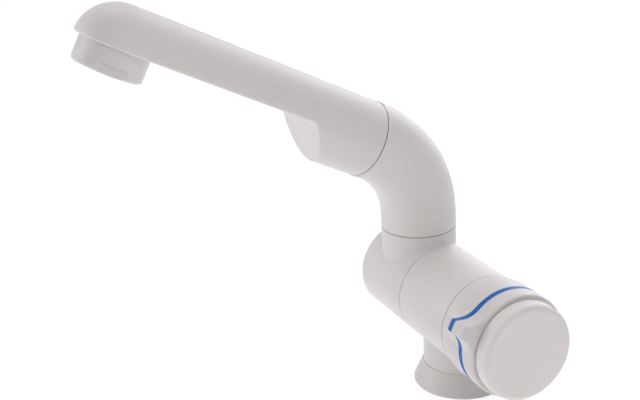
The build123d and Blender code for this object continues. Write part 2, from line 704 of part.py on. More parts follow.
def knob_skirt():
    """Rear moulding: flared skirt, barrel and the fin's rear, hollow inside."""
    flare = make_face([
        Line((KNOB_REAR_X, 0), (KNOB_REAR_X, BODY_R)),
        ThreePointArc((KNOB_REAR_X, BODY_R), (SKIRT_FLARE_X, BARREL_R - SKIRT_LIP_R),
                      (BARREL_REAR_X, BARREL_R - SKIRT_LIP_R / 4)),
        Line((BARREL_REAR_X, BARREL_R - SKIRT_LIP_R / 4), (BARREL_REAR_X, 0)),
        Line((BARREL_REAR_X, 0), (KNOB_REAR_X, 0)),
    ])
    skirt = Pos(0, 0, BODY_AXIS_Z) * revolve(flare, Axis.X)
    rear = turned_x([(BARREL_REAR_X, 0), (BARREL_REAR_X, BARREL_R), (FIN_REAR_X, FIN_R),
                     (FIN_REAR_X, 2 * FIN_R), (STRIPE_X, 2 * FIN_R), (STRIPE_X, 0)])
    skirt += knob_slice(rounded_outline(), BARREL_REAR_X, STRIPE_X) & rear
    skirt -= rod_x(BODY_R - KNOB_WALL, KNOB_REAR_X, STRIPE_X - KNOB_WEB_T)
    return skirt - rod_x(COLLAR_JOIN_R, KNOB_REAR_X, STRIPE_X)


def indicator_ring():
    """Blue plate between the two mouldings: its edge shows as the stripe."""
    plate = knob_slice(rounded_outline(), STRIPE_X, STRIPE_X + STRIPE_W)
    return plate - rod_x(COLLAR_JOIN_R, STRIPE_X, STRIPE_X + STRIPE_W)


def grip_limit():
    """Turned shape that rounds the fin's crown over to the grip's front face."""
    back_x = STRIPE_X + STRIPE_W
    crown_r = FIN_R - FIN_CROWN_DROP
    nose_r = min(FIN_NOSE_R, FIN_NOSE_LIMIT * FIN_HEIGHT)
    start = (GRIP_FRONT_X - nose_r, crown_r)
    stop = (GRIP_FRONT_X, crown_r - nose_r)
    face = make_face([
        Line((back_x, 0), (back_x, FIN_R)),
        Line((back_x, FIN_R), start),
        RadiusArc(start, stop, nose_r),
        Line(stop, (GRIP_FRONT_X, 0)),
        Line((GRIP_FRONT_X, 0), (back_x, 0)),
    ])
    return Pos(0, 0, BODY_AXIS_Z) * revolve(face, Axis.X)


SCREW_SEAT_X = SPINDLE_END_X + KNOB_WALL
PLUG_FLOOR_X = GRIP_FRONT_X - DISC_PLUG_LEN


def soften_grip(grip):
    """Rounds the edges round the grip's front and along the fin's crown."""
    crown = [face for face in grip.faces() if face.geom_type in (GeomType.CONE, GeomType.TORUS)]
    front = grip.faces().sort_by(Axis.X)[-1]
    outline = border([front, *crown])
    return fillet(outline.sort_by(Axis.X)[1:], CROWN_EDGE_R)


def knob_grip():
    """Front moulding: barrel and fin, with the hub that takes the spindle."""
    back_x = STRIPE_X + STRIPE_W
    grip = soften_grip(knob_slice(sharp_outline(), back_x, GRIP_FRONT_X) & grip_limit())
    grip += rod_x(COLLAR_JOIN_R - RUN_FIT, STRIPE_X - KNOB_WEB_T, back_x)
    grip += rod_x(HUB_R, SPINDLE_END_X - SPLINE_LEN, back_x)
    grip -= rod_x(SPINDLE_R + RUN_FIT, SPINDLE_END_X - SPLINE_LEN, SPINDLE_END_X + RUN_FIT)
    grip -= rod_x(KNOB_SCREW_R + RUN_FIT, SPINDLE_END_X, GRIP_FRONT_X)
    grip -= rod_x(KNOB_SCREW_HEAD_R + LOOSE_FIT, SCREW_SEAT_X, GRIP_FRONT_X)
    return grip - rod_x(DISC_PLUG_R + RUN_FIT, PLUG_FLOOR_X, GRIP_FRONT_X)


def knob_screw():
    head = rod_x(KNOB_SCREW_HEAD_R, SCREW_SEAT_X, SCREW_SEAT_X + KNOB_SCREW_HEAD_T)
    head_face = Pos(SCREW_SEAT_X + KNOB_SCREW_HEAD_T - SCREW_DRIVE_DEPTH, 0, BODY_AXIS_Z)
    head -= head_face * Rot(0, 90, 0) * hex_rod(2 * SCREW_DRIVE_R, SCREW_DRIVE_DEPTH)
    return head + rod_x(KNOB_SCREW_R, SPINDLE_END_X - KNOB_SCREW_LEN, SCREW_SEAT_X)


def end_disc():
    """Cap over the knob's front, plugged into the grip and set off by a groove."""
    back_x = GRIP_FRONT_X + CAP_GAP
    disc = rod_x(DISC_R, back_x, DISC_FRONT_X)
    disc = fillet(disc.edges().group_by(Axis.X)[-1], DISC_EDGE_R)
    disc = fillet(disc.edges().group_by(Axis.X)[0], DISC_BACK_EDGE_R)
    disc += rod_x(DISC_R - CAP_GROOVE_DEPTH, GRIP_FRONT_X, back_x)
    return disc + rod_x(DISC_PLUG_R, PLUG_FLOOR_X + LOOSE_FIT, GRIP_FRONT_X)


PIECES = {
    "base_rosette": base_rosette,
    "seat_gasket": seat_gasket,
    "threaded_shank": threaded_shank,
    "clamp_washer": clamp_washer,
    "mounting_nut": mounting_nut,
    "inlet_stem": inlet_stem,
    "valve_body": valve_body,
    "headpart_housing": headpart_housing,
    "headpart_oring": headpart_oring,
    "seat_seal": seat_seal,
    "ceramic_disc_fixed": fixed_disc,
    "ceramic_disc_moving": moving_disc,
    "valve_spindle": valve_spindle,
    "spindle_oring": spindle_oring,
    "pivot_tube": pivot_tube,
    "pivot_orings": pivot_orings,
    "keeper_washer": keeper_washer,
    "pivot_screw": pivot_screw,
    "pivot_housing": pivot_housing,
    "end_cap": end_cap,
    "grub_screw": grub_screw,
    "glide_ring": glide_ring,
    "elbow": elbow,
    "swivel_orings": swivel_orings,
    "spout": spout,
    "spout_oring": spout_oring,
    "aerator_collar": aerator_collar,
    "aerator_insert": aerator_insert,
    "outlet_washer": outlet_washer,
    "knob_skirt": knob_skirt,
    "indicator_ring": indicator_ring,
    "knob_grip": knob_grip,
    "knob_screw": knob_screw,
    "end_disc": end_disc,
}


os.makedirs("parts", exist_ok=True)
for name, make in PIECES.items():
    export_step(make(), f"parts/{name}.step")
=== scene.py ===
import math

import bpy
from mathutils import Matrix, Vector


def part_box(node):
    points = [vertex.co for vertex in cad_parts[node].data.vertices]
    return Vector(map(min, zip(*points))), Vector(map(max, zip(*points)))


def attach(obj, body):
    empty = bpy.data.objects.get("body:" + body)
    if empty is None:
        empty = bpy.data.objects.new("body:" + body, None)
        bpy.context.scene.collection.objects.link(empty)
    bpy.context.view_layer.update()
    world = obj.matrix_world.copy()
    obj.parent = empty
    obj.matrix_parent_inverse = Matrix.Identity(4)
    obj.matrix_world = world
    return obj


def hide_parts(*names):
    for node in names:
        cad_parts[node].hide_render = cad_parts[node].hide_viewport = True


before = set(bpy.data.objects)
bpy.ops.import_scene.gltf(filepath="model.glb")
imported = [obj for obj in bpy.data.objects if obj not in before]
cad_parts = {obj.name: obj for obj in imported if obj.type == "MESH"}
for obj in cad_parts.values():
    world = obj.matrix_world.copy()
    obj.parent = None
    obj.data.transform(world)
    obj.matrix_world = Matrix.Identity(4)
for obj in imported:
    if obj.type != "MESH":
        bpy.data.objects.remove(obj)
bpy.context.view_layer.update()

MM = 0.001

# Camera: where the photograph was taken from
CAMERA_PLACE = (0.3854, -0.2352, 0.2570)
CAMERA_AZIMUTH = 61.87
CAMERA_ELEVATION = 21.19
CAMERA_ROLL = -1.67
CAMERA_LENS_MM = 68.18
CAMERA_SENSOR_MM = 36.0
CAMERA_SHIFT = (-0.1198, -0.0068)

# Studio: softboxes round the tap, each with its name, azimuth, elevation and power
SOFTBOXES = (
    ("softbox_back", 210.0, 12.0, 6.2),
    ("softbox_left", 330.0, 12.0, 6.5),
    ("softbox_right", 90.0, 42.0, 6.0),
    ("softbox_top", 240.0, 68.0, 6.4),
)
SOFTBOX_SIZE = 1.0
SOFTBOX_DISTANCE = 1.3
SOFTBOX_AIM = (-0.02, -0.05, 0.08)

# The tent and the floor: how they light the tap, and how they look behind it
TENT_LEVEL = 0.06
TENT_SEEN_LEVEL = 1.0
FLOOR_HALF_WIDTH = 3.0
FLOOR_GREY = 0.90
FLOOR_GLOW = 0.38
FLOOR_SEEN_GREY = 0.50
FLOOR_SEEN_GLOW = 0.73

# Grain, rubbed edges and seams, as the shader groups make them
GRAIN_PER_METRE = 2600.0
GRAIN_DETAIL = 2.0
DRIFT_PER_METRE = 45.0
DRIFT_DETAIL = 3.0
RUB_WIDTH = 0.6 * MM
RUB_GAIN = 5.0
RUB_PATCHES_PER_METRE = 260.0
SEAM_REACH = 0.7 * MM
SEAM_POWER = 1.6
RAY_SAMPLES = 6

# Plastics: how light sinks in, and how tone and roughness change over a moulding
PLASTIC_LIGHT_SHARE = 0.6
PLASTIC_LIGHT_DEPTH = 0.8 * MM
PLASTIC_LIGHT_SPREAD = (1.0, 0.75, 0.65)
PLASTIC_SPECULAR = 0.5
PLASTIC_TONE_DRIFT = 0.015
# Plastic edges are lighter partly as wear and partly as a painted highlight
PLASTIC_RUB_AND_HIGHLIGHT_TONE = 1.04
PLASTIC_RUB_POLISH = 0.12
PLASTIC_ROUGHNESS_DRIFT = 0.08
PLASTIC_GRAIN_STRENGTH = 0.25

# Metals: tool lines round the X axis, tarnish and bright edges
TOOL_LINES_PER_METRE = 2600.0
TOOL_LINE_BREAKS_PER_METRE = 60.0
TOOL_LINE_ROUGHNESS = 0.25
TOOL_LINE_STRENGTH = 0.2
TOOL_LINE_DEPTH = 0.02 * MM
TARNISH_PER_METRE = 120.0
METAL_RUB_WIDTH = 0.4 * MM
METAL_RUB_TONE = 1.15

# Rubber's bloom and the ceramic's lapping marks
BLOOM_PER_METRE = 300.0
BLOOM_ROUGHNESS = 0.2
RUBBER_RUB_WIDTH = 0.3 * MM
LAPPING_PER_METRE = 5000.0
LAPPING_ROUGHNESS = 0.15
CERAMIC_DRIFT_PER_METRE = 400.0
CERAMIC_DRIFT_TONE = 0.93

# Colours of the finishes
PLASTIC_WHITE = (0.770, 0.735, 0.730)
# The knob is a darker copy of the white as painted shade, and the end disc a lighter copy as painted
# light
KNOB_PAINTED_SHADE_TONE = 0.96
DISC_PAINTED_LIGHT_TONE = 1.07
COLLAR_WHITE = (0.728, 0.692, 0.694)
INSERT_GREY = (0.60, 0.60, 0.60)
NUT_GREY = (0.22, 0.22, 0.23)
STRIPE_BLUE = (0.010, 0.140, 0.510)
RING_BROWN = (0.46, 0.34, 0.28)
BRASS_BRIGHT = (0.72, 0.53, 0.25)
BRASS_DULL = (0.50, 0.36, 0.17)
STEEL_BRIGHT = (0.60, 0.60, 0.61)
STEEL_DULL = (0.46, 0.46, 0.47)
RUBBER_BLACK = (0.030, 0.030, 0.031)
RUBBER_BLOOM = (0.060, 0.060, 0.058)
RUBBER_WORN = (0.085, 0.085, 0.082)
CERAMIC_CREAM = (0.80, 0.79, 0.75)

# Colours that the seam mask paints into seams and inner corners: painted shade where light is
# blocked, and dirt in the joints
BODY_SEAM_DIRT_AND_SHADE = (0.60, 0.45, 0.38)
SKIRT_SEAM_DIRT_AND_SHADE = (0.22, 0.15, 0.12)
KNOB_SEAM_DIRT_AND_SHADE = (0.80, 0.73, 0.70)
COLLAR_SEAM_DIRT_AND_SHADE = (0.86, 0.79, 0.77)
NUT_SEAM_DIRT_AND_SHADE = (0.06, 0.06, 0.06)
STRIPE_SEAM_DIRT_AND_SHADE = (0.01, 0.04, 0.20)
RING_SEAM_DIRT_AND_SHADE = (0.10, 0.07, 0.05)

# Roughness and grain of the finishes
SATIN_ROUGHNESS = 0.46
MATTE_ROUGHNESS = 0.50
COLLAR_ROUGHNESS = 0.34
STRIPE_ROUGHNESS = 0.45
BRASS_ROUGHNESS = 0.345
STEEL_ROUGHNESS = 0.365
RUBBER_ROUGHNESS = 0.55
CERAMIC_ROUGHNESS = 0.175
SMOOTH_GRAIN = 0.01 * MM
FINE_GRAIN = 0.02 * MM
COARSE_GRAIN = 0.03 * MM
COLLAR_LIGHT_SHARE = 0.15
STRIPE_SPECULAR = 0.2

# Which nodes share a finish
WHITE_NODES = (
    "base_rosette", "threaded_shank", "valve_body", "pivot_housing", "end_cap", "elbow", "spout",
)
BRASS_NODES = ("inlet_stem", "headpart_housing", "valve_spindle", "pivot_tube")
STEEL_NODES = ("clamp_washer", "keeper_washer", "pivot_screw", "grub_screw", "knob_screw")
RUBBER_NODES = (
    "seat_gasket", "headpart_oring", "seat_seal", "spindle_oring", "pivot_orings", "swivel_orings",
    "spout_oring", "outlet_washer",
)
CERAMIC_NODES = ("ceramic_disc_fixed", "ceramic_disc_moving")

# Shank: its crest, foot and head come from its CAD node, the rest is as the part's source has it
SHANK_CHAMFER = 1.0 * MM
SHANK_BORE_R = 10.5 * MM
SHANK_SEGMENTS = 120
SPIGOT_R = 13.0 * MM
THREAD_PITCH = 2.0 * MM
THREAD_DEPTH = 0.75 * MM
THREAD_CREST_SHARE = 0.15
THREAD_FLANK_SLOPE = 1.35
THREAD_FADE = 1.5 * MM
THREAD_TOP = -1.0 * MM
THREAD_ROW = 0.2 * MM
NEARLY_CREST = 0.999

# Woven screen just over the insert's plate, square to the outlet's axis, which points into the spout
OUTLET_AZIMUTH = 182.16
OUTLET_ELEVATION = 61.53
INSERT_LEN = 11.75 * MM
INSERT_PLATE_T = 2.0 * MM
SCREEN_LIFT = 0.35 * MM
SCREEN_R = 9.1 * MM
SCREEN_PITCH = 0.65 * MM
SCREEN_WIRES = 27
SCREEN_WIRE_R = 0.11 * MM
SCREEN_WIRE_SIDES = 5
SCREEN_POINTS_PER_PITCH = 4

# Edges that turn more than this stay sharp, and the white of the tent
SHARP_EDGE = math.radians(40)
WHITE_LIGHT = (1, 1, 1, 1)


# Nodes

def put(tree, socket, value):
    """Links a value that is a socket, and sets any other."""
    if isinstance(value, bpy.types.NodeSocket):
        tree.links.new(value, socket)
    else:
        socket.default_value = value


def feed(tree, node, **values):
    """Links or sets a node's inputs, named with underscores for spaces."""
    for label, value in values.items():
        put(tree, node.inputs[label.replace("_", " ")], value)
    return node


def add_node(tree, kind, **values):
    """New node with its inputs linked or set."""
    return feed(tree, tree.nodes.new(kind), **values)


def maths(tree, operation, *values, clamp=False):
    """Math node whose inputs are sockets or numbers; returns its output."""
    node = tree.nodes.new("ShaderNodeMath")
    node.operation = operation
    node.use_clamp = clamp
    for socket, value in zip(node.inputs, values):
        put(tree, socket, value)
    return node.outputs[0]


def vector_maths(tree, operation, *vectors):
    """Vector Math node whose result is a number; returns that output."""
    node = tree.nodes.new("ShaderNodeVectorMath")
    node.operation = operation
    for socket, vector in zip(node.inputs, vectors):
        tree.links.new(vector, socket)
    return node.outputs["Value"]


# Shader groups

def new_group(name, inputs, outputs):
    """Empty shader group with its inputs, given as label: (type, value), and its outputs."""
    tree = bpy.data.node_groups.new(name, "ShaderNodeTree")
    for label, (kind, value) in inputs.items():
        socket = tree.interface.new_socket(label, in_out="INPUT", socket_type=kind)
        if value is not None:
            socket.default_value = value
    for label in outputs:
        tree.interface.new_socket(label, in_out="OUTPUT", socket_type="NodeSocketFloat")
    return tree, tree.nodes.new("NodeGroupInput"), tree.nodes.new("NodeGroupOutput")


def use_group(tree, group, **values):
    """Places a shader group with its own values; returns its outputs."""
    node = tree.nodes.new("ShaderNodeGroup")
    node.node_tree = group
    return feed(tree, node, **values).outputs


def noise(tree, place, scale, detail):
    """Noise texture at a place; its value runs about 0 to 1."""
    node = add_node(tree, "ShaderNodeTexNoise", Vector=place, Scale=scale, Detail=detail)
    return node.outputs["Fac"]


def make_mould_grain():
    """Fine spark-eroded grain of a moulding, and a slow drift of tone and gloss across it."""
    inputs = {
        "Place": ("NodeSocketVector", None),
        "Grain Per Metre": ("NodeSocketFloat", GRAIN_PER_METRE),
        "Drift Per Metre": ("NodeSocketFloat", DRIFT_PER_METRE),
    }
    tree, ins, outs = new_group("mould_grain", inputs, ("Height", "Drift"))
    place = ins.outputs["Place"]
    fine = noise(tree, place, ins.outputs["Grain Per Metre"], GRAIN_DETAIL)
    drift = noise(tree, place, ins.outputs["Drift Per Metre"], DRIFT_DETAIL)
    feed(tree, outs, Height=fine, Drift=drift)
    return tree


def make_edge_rub():
    """Mask of the edges that hands and cloths polish, broken up by noise; on the plastics it also
    carries a painted highlight.
    """
    inputs = {
        "Place": ("NodeSocketVector", None),
        "Width": ("NodeSocketFloat", RUB_WIDTH),
        "Patches Per Metre": ("NodeSocketFloat", RUB_PATCHES_PER_METRE),
    }
    tree, ins, outs = new_group("edge_rub", inputs, ("Mask",))
    bevel = add_node(tree, "ShaderNodeBevel", Radius=ins.outputs["Width"])
    bevel.samples = RAY_SAMPLES
    surface = tree.nodes.new("ShaderNodeNewGeometry")
    facing = vector_maths(tree, "DOT_PRODUCT", bevel.outputs["Normal"], surface.outputs["Normal"])
    turn = maths(tree, "SUBTRACT", 1.0, facing, clamp=True)
    edge = maths(tree, "MULTIPLY", turn, RUB_GAIN, clamp=True)
    patches = noise(tree, ins.outputs["Place"], ins.outputs["Patches Per Metre"], DRIFT_DETAIL)
    feed(tree, outs, Mask=maths(tree, "MULTIPLY", edge, patches, clamp=True))
    return tree


def make_seam_shade():
    """Mask of narrow seams and inner corners, for painted shade where light doesn't reach and for
    dirt where cloths don't reach.
    """
    inputs = {"Reach": ("NodeSocketFloat", SEAM_REACH)}
    tree, ins, outs = new_group("seam_shade", inputs, ("Mask",))
    openness = add_node(tree, "ShaderNodeAmbientOcclusion", Distance=ins.outputs["Reach"])
    openness.samples = RAY_SAMPLES
    closed = maths(tree, "SUBTRACT", 1.0, openness.outputs["AO"], clamp=True)
    feed(tree, outs, Mask=maths(tree, "POWER", closed, SEAM_POWER, clamp=True))
    return tree


MOULD_GRAIN = make_mould_grain()
EDGE_RUB = make_edge_rub()
SEAM_SHADE = make_seam_shade()


# Materials

def new_material(name, colour, roughness, metallic=0.0):
    """Material with its tree, its Principled shader and the place on the piece, in metres."""
    material = bpy.data.materials.new(name)
    material.use_nodes = True
    material.diffuse_color = (*colour, 1.0)
    tree = material.node_tree
    shader = tree.nodes["Principled BSDF"]
    feed(tree, shader, Base_Color=(*colour, 1.0), Roughness=roughness, Metallic=metallic)
    place = tree.nodes.new("ShaderNodeTexCoord").outputs["Object"]
    return material, tree, shader, place


def shade(colour, factor):
    """The same colour, lighter or darker."""
    return tuple(min(1.0, channel * factor) for channel in colour)


def blend_colours(tree, mask, plain, other):
    """Mixes two colours, each a socket or numbers, by a mask."""
    node = tree.nodes.new("ShaderNodeMix")
    node.data_type = "RGBA"
    tree.links.new(mask, node.inputs["Factor"])
    for label, value in (("A", plain), ("B", other)):
        socket = next(s for s in node.inputs if s.name == label and s.type == "RGBA")
        put(tree, socket, value if isinstance(value, bpy.types.NodeSocket) else (*value, 1.0))
    return next(s for s in node.outputs if s.type == "RGBA")


def uneven_roughness(tree, mask, middle, change):
    """Roughness that changes with a mask, evenly round a middle value."""
    return maths(tree, "MULTIPLY_ADD", mask, change, middle - change / 2)


def add_bump(tree, shader, height, strength, depth):
    """Bump from a height that runs 0 to 1."""
    bump = add_node(tree, "ShaderNodeBump", Height=height, Strength=strength, Distance=depth)
    feed(tree, shader, Normal=bump.outputs["Normal"])


def moulded_plastic(
        name, colour, roughness, seam_dirt_and_shade, grain_depth,
        light_share=PLASTIC_LIGHT_SHARE, specular=PLASTIC_SPECULAR):
    """Injection-moulded plastic: light sinks in a little; fine grain, rubbed edges lightened partly
    as wear and partly as a painted highlight, and painted shade with dirt in the seams.
    """
    material, tree, shader, place = new_material(name, colour, roughness)
    feed(
        tree, shader, Subsurface_Weight=light_share, Subsurface_Radius=PLASTIC_LIGHT_SPREAD,
        Subsurface_Scale=PLASTIC_LIGHT_DEPTH, Specular_IOR_Level=specular)
    grain = use_group(tree, MOULD_GRAIN, Place=place)
    rub = use_group(tree, EDGE_RUB, Place=place)["Mask"]
    # Occlusion mask: painted shade in seams and inner corners, which also stands for dirt there
    seam_dirt_and_shade_mask = use_group(tree, SEAM_SHADE)["Mask"]
    darker = shade(colour, 1.0 - PLASTIC_TONE_DRIFT)
    lighter = shade(colour, 1.0 + PLASTIC_TONE_DRIFT)
    toned = blend_colours(tree, grain["Drift"], darker, lighter)
    # Rubbed edges lighter: partly wear, partly a painted highlight where edges catch the light
    worn_and_lit = blend_colours(tree, rub, toned, shade(colour, PLASTIC_RUB_AND_HIGHLIGHT_TONE))
    moulded = uneven_roughness(tree, grain["Drift"], roughness, PLASTIC_ROUGHNESS_DRIFT)
    polish = maths(tree, "MULTIPLY", rub, PLASTIC_RUB_POLISH)
    feed(
        tree, shader, Base_Color=blend_colours(tree, seam_dirt_and_shade_mask, worn_and_lit, seam_dirt_and_shade),
        Roughness=maths(tree, "SUBTRACT", moulded, polish, clamp=True))
    add_bump(tree, shader, grain["Height"], PLASTIC_GRAIN_STRENGTH, grain_depth)
    return material


def turned_metal(name, bright_colour, dull_colour, roughness):
    """Turned or pressed metal: fine tool lines, patches of tarnish and bright edges."""
    material, tree, shader, place = new_material(name, bright_colour, roughness, metallic=1.0)
    line_scale = (TOOL_LINES_PER_METRE, TOOL_LINE_BREAKS_PER_METRE, TOOL_LINE_BREAKS_PER_METRE)
    stretch = add_node(tree, "ShaderNodeMapping", Vector=place, Scale=line_scale)
    lines = noise(tree, stretch.outputs["Vector"], 1.0, GRAIN_DETAIL)
    tarnish = use_group(tree, MOULD_GRAIN, Place=place, Drift_Per_Metre=TARNISH_PER_METRE)["Drift"]
    rub = use_group(tree, EDGE_RUB, Place=place, Width=METAL_RUB_WIDTH)["Mask"]
    tarnished = blend_colours(tree, tarnish, bright_colour, dull_colour)
    feed(
        tree, shader,
        Base_Color=blend_colours(tree, rub, tarnished, shade(bright_colour, METAL_RUB_TONE)),
        Roughness=uneven_roughness(tree, lines, roughness, TOOL_LINE_ROUGHNESS))
    add_bump(tree, shader, lines, TOOL_LINE_STRENGTH, TOOL_LINE_DEPTH)
    return material


def moulded_rubber():
    """Black rubber with a pale bloom in patches and on its edges."""
    material, tree, shader, place = new_material("seal_rubber", RUBBER_BLACK, RUBBER_ROUGHNESS)
    bloom = use_group(tree, MOULD_GRAIN, Place=place, Drift_Per_Metre=BLOOM_PER_METRE)["Drift"]
    rub = use_group(tree, EDGE_RUB, Place=place, Width=RUBBER_RUB_WIDTH)["Mask"]
    bloomed = blend_colours(tree, bloom, RUBBER_BLACK, RUBBER_BLOOM)
    feed(
        tree, shader, Base_Color=blend_colours(tree, rub, bloomed, RUBBER_WORN),
        Roughness=uneven_roughness(tree, bloom, RUBBER_ROUGHNESS, BLOOM_ROUGHNESS))
    return material


def lapped_ceramic():
    """Cream-white ceramic with faint lapping marks."""
    material, tree, shader, place = new_material("disc_ceramic", CERAMIC_CREAM, CERAMIC_ROUGHNESS)
    grain = use_group(
        tree, MOULD_GRAIN, Place=place, Grain_Per_Metre=LAPPING_PER_METRE,
        Drift_Per_Metre=CERAMIC_DRIFT_PER_METRE)
    darker = shade(CERAMIC_CREAM, CERAMIC_DRIFT_TONE)
    feed(
        tree, shader, Base_Color=blend_colours(tree, grain["Drift"], CERAMIC_CREAM, darker),
        Roughness=uneven_roughness(tree, grain["Height"], CERAMIC_ROUGHNESS, LAPPING_ROUGHNESS))
    return material


white_plastic = moulded_plastic(
    "tap_white_plastic", PLASTIC_WHITE, SATIN_ROUGHNESS, BODY_SEAM_DIRT_AND_SHADE, FINE_GRAIN)
# Knob pieces and end disc: darker and lighter copies of the body's white, as painted shade and
# painted light
skirt_shaded_plastic = moulded_plastic(
    "skirt_white_plastic", shade(PLASTIC_WHITE, KNOB_PAINTED_SHADE_TONE), SATIN_ROUGHNESS, SKIRT_SEAM_DIRT_AND_SHADE, FINE_GRAIN)
grip_shaded_plastic = moulded_plastic(
    "grip_white_plastic", shade(PLASTIC_WHITE, KNOB_PAINTED_SHADE_TONE), SATIN_ROUGHNESS, KNOB_SEAM_DIRT_AND_SHADE, FINE_GRAIN)
disc_lit_plastic = moulded_plastic(
    "disc_white_plastic", shade(PLASTIC_WHITE, DISC_PAINTED_LIGHT_TONE), SATIN_ROUGHNESS, KNOB_SEAM_DIRT_AND_SHADE, FINE_GRAIN)
collar_plastic = moulded_plastic(
    "aerator_collar_plastic", COLLAR_WHITE, COLLAR_ROUGHNESS, COLLAR_SEAM_DIRT_AND_SHADE, SMOOTH_GRAIN,
    light_share=COLLAR_LIGHT_SHARE)
insert_plastic = moulded_plastic(
    "aerator_insert_plastic", INSERT_GREY, MATTE_ROUGHNESS, BODY_SEAM_DIRT_AND_SHADE, FINE_GRAIN)
nut_plastic = moulded_plastic(
    "nut_grey_plastic", NUT_GREY, MATTE_ROUGHNESS, NUT_SEAM_DIRT_AND_SHADE, COARSE_GRAIN)
blue_plastic = moulded_plastic(
    "cold_stripe_blue", STRIPE_BLUE, STRIPE_ROUGHNESS, STRIPE_SEAM_DIRT_AND_SHADE, SMOOTH_GRAIN,
    specular=STRIPE_SPECULAR)
ring_plastic = moulded_plastic(
    "glide_ring_brown", RING_BROWN, MATTE_ROUGHNESS, RING_SEAM_DIRT_AND_SHADE, SMOOTH_GRAIN)
brass = turned_metal("turned_brass", BRASS_BRIGHT, BRASS_DULL, BRASS_ROUGHNESS)
steel = turned_metal("brushed_steel", STEEL_BRIGHT, STEEL_DULL, STEEL_ROUGHNESS)
rubber = moulded_rubber()
ceramic = lapped_ceramic()

FINISHES = {
    **{node: white_plastic for node in WHITE_NODES},
    **{node: brass for node in BRASS_NODES},
    **{node: steel for node in STEEL_NODES},
    **{node: rubber for node in RUBBER_NODES},
    **{node: ceramic for node in CERAMIC_NODES},
    "knob_skirt": skirt_shaded_plastic,
    "knob_grip": grip_shaded_plastic,
    "end_disc": disc_lit_plastic,
    "aerator_collar": collar_plastic,
    "aerator_insert": insert_plastic,
    "mounting_nut": nut_plastic,
    "indicator_ring": blue_plastic,
    "glide_ring": ring_plastic,
}


def dress_cad_nodes():
    """Gives every CAD node its finish."""
    for name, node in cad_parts.items():
        node.data.materials.clear()
        node.data.materials.append(FINISHES[name])


# Objects and directions

def way_to(azimuth, elevation):
    """Direction at an azimuth, 0 towards -Y and 90 towards +X, and an elevation."""
    turn = math.radians(azimuth)
    rise = math.radians(elevation)
    return Vector((math.sin(turn) * math.cos(rise), -math.cos(turn) * math.cos(rise), math.sin(rise)))


def new_object(name, data):
    """Object that holds a mesh, a lamp or a camera, in the scene."""
    made = bpy.data.objects.new(name, data)
    bpy.context.scene.collection.objects.link(made)
    return made


# Pieces made by Geometry Nodes

def new_maker(name, inputs):
    """Geometry Nodes tree with a geometry input and output, and inputs given as label: type."""
    tree = bpy.data.node_groups.new(name, "GeometryNodeTree")
    tree.interface.new_socket("Geometry", in_out="INPUT", socket_type="NodeSocketGeometry")
    for label, kind in inputs.items():
        tree.interface.new_socket(label, in_out="INPUT", socket_type=kind)
    tree.interface.new_socket("Geometry", in_out="OUTPUT", socket_type="NodeSocketGeometry")
    return tree, tree.nodes.new("NodeGroupInput"), tree.nodes.new("NodeGroupOutput")


def point_place(tree):
    """X, Y and Z of each point."""
    place = tree.nodes.new("GeometryNodeInputPosition").outputs[0]
    return add_node(tree, "ShaderNodeSeparateXYZ", Vector=place).outputs


def vector_of(tree, **lengths):
    """Vector with the named lengths along X, Y and Z, and zero along the others."""
    return add_node(tree, "ShaderNodeCombineXYZ", **lengths).outputs[0]


def close_maker(tree, geometry, finish, outs):
    """Ends a tree in Realize Instances and Set Material."""
    real = add_node(tree, "GeometryNodeRealizeInstances", Geometry=geometry)
    dressed = add_node(tree, "GeometryNodeSetMaterial", Geometry=real.outputs[0], Material=finish)
    feed(tree, outs, Geometry=dressed.outputs[0])


def make_by(tree, piece, **values):
    """Runs a tree on a piece with its inputs set and keeps the result as the piece's plain mesh."""
    modifier = piece.modifiers.new("maker", "NODES")
    modifier.node_group = tree
    for item in tree.interface.items_tree:
        label = item.name.replace(" ", "_")
        if item.in_out == "INPUT" and label in values:
            modifier[item.identifier] = values[label]
    bpy.context.view_layer.update()
    made = piece.evaluated_get(bpy.context.evaluated_depsgraph_get())
    mesh = bpy.data.meshes.new_from_object(made)
    piece.modifiers.remove(modifier)
    piece.data = mesh
    mesh.name = piece.name
    mesh.shade_smooth()
    mesh.set_sharp_from_angle(angle=SHARP_EDGE)


